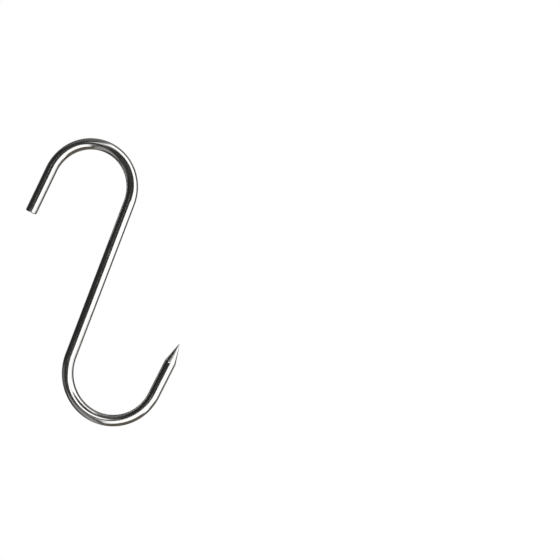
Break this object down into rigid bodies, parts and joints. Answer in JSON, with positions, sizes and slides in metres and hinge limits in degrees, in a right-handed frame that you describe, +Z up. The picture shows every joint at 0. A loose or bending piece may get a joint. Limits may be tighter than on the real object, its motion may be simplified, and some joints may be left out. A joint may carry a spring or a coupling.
{
  "type": "s hook",
  "caption": "Pointed S hook bent from one round bar, with a blunt tail over the top bend and a ground conical point on the lower bend.",
  "frame": {"origin": "rail seat, the highest point inside the top bend, where the hook hangs on a rail", "axes": "+Z up with the hook hanging as in the picture, hook plane in XZ, blunt tail towards -X, point towards +X, bar thickness along Y"},
  "size_m": [0.0663, 0.005, 0.12],
  "materials": {
    "polished_steel": "bright polished stainless steel round bar with faint lengthwise drawing lines and ring-shaped grinding marks on the point"
  },
  "bodies": {
    "root": {"hook": "polished_steel"}
  },
  "joints": []
}
